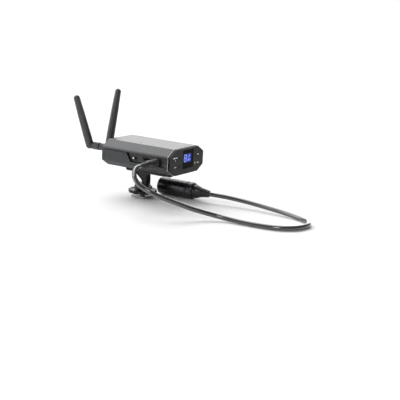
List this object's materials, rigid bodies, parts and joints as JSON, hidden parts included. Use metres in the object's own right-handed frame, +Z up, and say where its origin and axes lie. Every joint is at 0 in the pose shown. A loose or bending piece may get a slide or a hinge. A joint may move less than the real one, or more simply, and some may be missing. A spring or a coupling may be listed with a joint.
{
  "type": "camera-mount wireless audio receiver",
  "caption": "Slim eight-sided wireless receiver with a display front, swivelling elbow antennas, a clip-held shoe mount with lock wheel, and an output cable to a round connector.",
  "frame": {"origin": "middle of the shoe foot's underside, where it sits on the floor of an accessory shoe", "axes": "+Z up from the shoe, -Y out of the display front (the foot slides along Y), +X to the right of someone who faces the display"},
  "size_m": [0.1224, 0.265, 0.1092],
  "materials": {
    "shell_paint": "satin",
    "panel_black": "satin",
    "trim_metal": "polished edge",
    "window_gloss": "gloss",
    "lcd_blue": "lit",
    "button_black": "satin",
    "light_green": "lit",
    "light_dark": "gloss",
    "bay_black": "fine texture",
    "knob_grey": "satin",
    "steel": "machined",
    "nickel": "plated",
    "circuit_green": "solder mask",
    "shield_tin": "tinned",
    "battery_wrap": "shrink film",
    "antenna_rubber": "satin",
    "mount_black": "satin",
    "clip_black": "semi-gloss",
    "cord_black": "satin",
    "connector_shell": "black chrome"
  },
  "bodies": {
    "base": {"shoe_foot": "steel", "swivel_column": "mount_black"},
    "clamp_washer": {"pressure_washer": "mount_black"},
    "clamp_wheel": {"lock_wheel": "mount_black"},
    "lock_screw": {"lock_screw": "steel"},
    "receiver": {"mount_adapter": "mount_black", "belt_clip": "clip_black", "clip_screw_1": "steel", "clip_screw_2": "steel", "upper_shell": "shell_paint", "lower_shell": "shell_paint", "housing_screw_1": "steel", "housing_screw_2": "steel", "housing_screw_3": "steel", "housing_screw_4": "steel", "front_panel": "panel_black", "front_trim_ring": "trim_metal", "display_window": "window_gloss", "lcd_module": "lcd_blue", "display_board": "circuit_green", "select_button_contact": "bay_black", "pair_button_contact": "bay_black", "status_light": "light_green", "peak_light": "light_dark", "jack_plate_left": "bay_black", "jack_plate_right": "bay_black", "power_switch_case": "bay_black", "usb_socket": "nickel", "output_jack": "bay_black", "phones_jack": "bay_black", "main_board": "circuit_green", "radio_shield": "shield_tin", "battery_pack": "battery_wrap", "rear_panel": "panel_black", "antenna_bushing_left": "antenna_rubber", "antenna_bushing_right": "antenna_rubber", "antenna_lead_left": "shield_tin", "antenna_lead_right": "shield_tin", "plug_contact": "nickel", "plug_boot": "cord_black", "output_cord": "cord_black", "connector_boot": "cord_black", "connector_shell": "connector_shell", "connector_insert": "bay_black"},
    "select_button": {"select_button": "button_black"},
    "pair_button": {"pair_button": "button_black"},
    "power_switch": {"power_switch_knob": "knob_grey"},
    "barrel_left": {"antenna_barrel_left": "antenna_rubber", "elbow_pin_left": "steel"},
    "barrel_right": {"antenna_barrel_right": "antenna_rubber", "elbow_pin_right": "steel"},
    "whip_left": {"antenna_whip_left": "antenna_rubber"},
    "whip_right": {"antenna_whip_right": "antenna_rubber"}
  },
  "joints": [
    {"name": "washer_slide", "type": "slide", "parent": "base", "child": "clamp_washer", "axis": [0, 0, 1], "range_m": [-0.00096, 0]},
    {"name": "wheel_turn", "type": "hinge", "parent": "clamp_washer", "child": "clamp_wheel", "pos_m": [0, 0, 0.0068], "axis": [0, 0, 1], "range_deg": [-270, 0]},
    {"name": "lock_screw_turn", "type": "hinge", "parent": "base", "child": "lock_screw", "pos_m": [0, -0.0096, 0.012], "axis": [0, 1, 0], "range_deg": [-360, 0]},
    {"name": "pan", "type": "hinge", "parent": "base", "child": "receiver", "pos_m": [0, 0, 0.0145], "axis": [0, 0, 1], "continuous": true},
    {"name": "select_press", "type": "slide", "parent": "receiver", "child": "select_button", "axis": [0, 1, 0], "range_m": [0, 0.0006], "stiffness_N_per_m": 400, "springref_m": -0.0006},
    {"name": "pair_press", "type": "slide", "parent": "receiver", "child": "pair_button", "axis": [0, 1, 0], "range_m": [0, 0.0006], "stiffness_N_per_m": 400, "springref_m": -0.0006},
    {"name": "power_slide", "type": "slide", "parent": "receiver", "child": "power_switch", "axis": [0, 1, 0], "range_m": [-0.0028, 0]},
    {"name": "swivel_left", "type": "hinge", "parent": "receiver", "child": "barrel_left", "pos_m": [-0.0175, 0.0466, 0.051], "axis": [0, 1, 0], "range_deg": [-157.6, 32.4]},
    {"name": "elbow_left", "type": "hinge", "parent": "barrel_left", "child": "whip_left", "pos_m": [-0.0175, 0.0612, 0.051], "axis": [0.9245, 0, 0.3811], "range_deg": [-88.2, 1.8]},
    {"name": "swivel_right", "type": "hinge", "parent": "receiver", "child": "barrel_right", "pos_m": [0.0175, 0.0466, 0.051], "axis": [0, 1, 0], "range_deg": [-25.4, 164.6]},
    {"name": "elbow_right", "type": "hinge", "parent": "barrel_right", "child": "whip_right", "pos_m": [0.0175, 0.0612, 0.051], "axis": [0.9641, 0, -0.2656], "range_deg": [-88.2, 1.8]}
  ],
  "couplings": [
    {"joint": "washer_slide", "follows": "wheel_turn", "m_per_rad": 0.00020213}
  ]
}
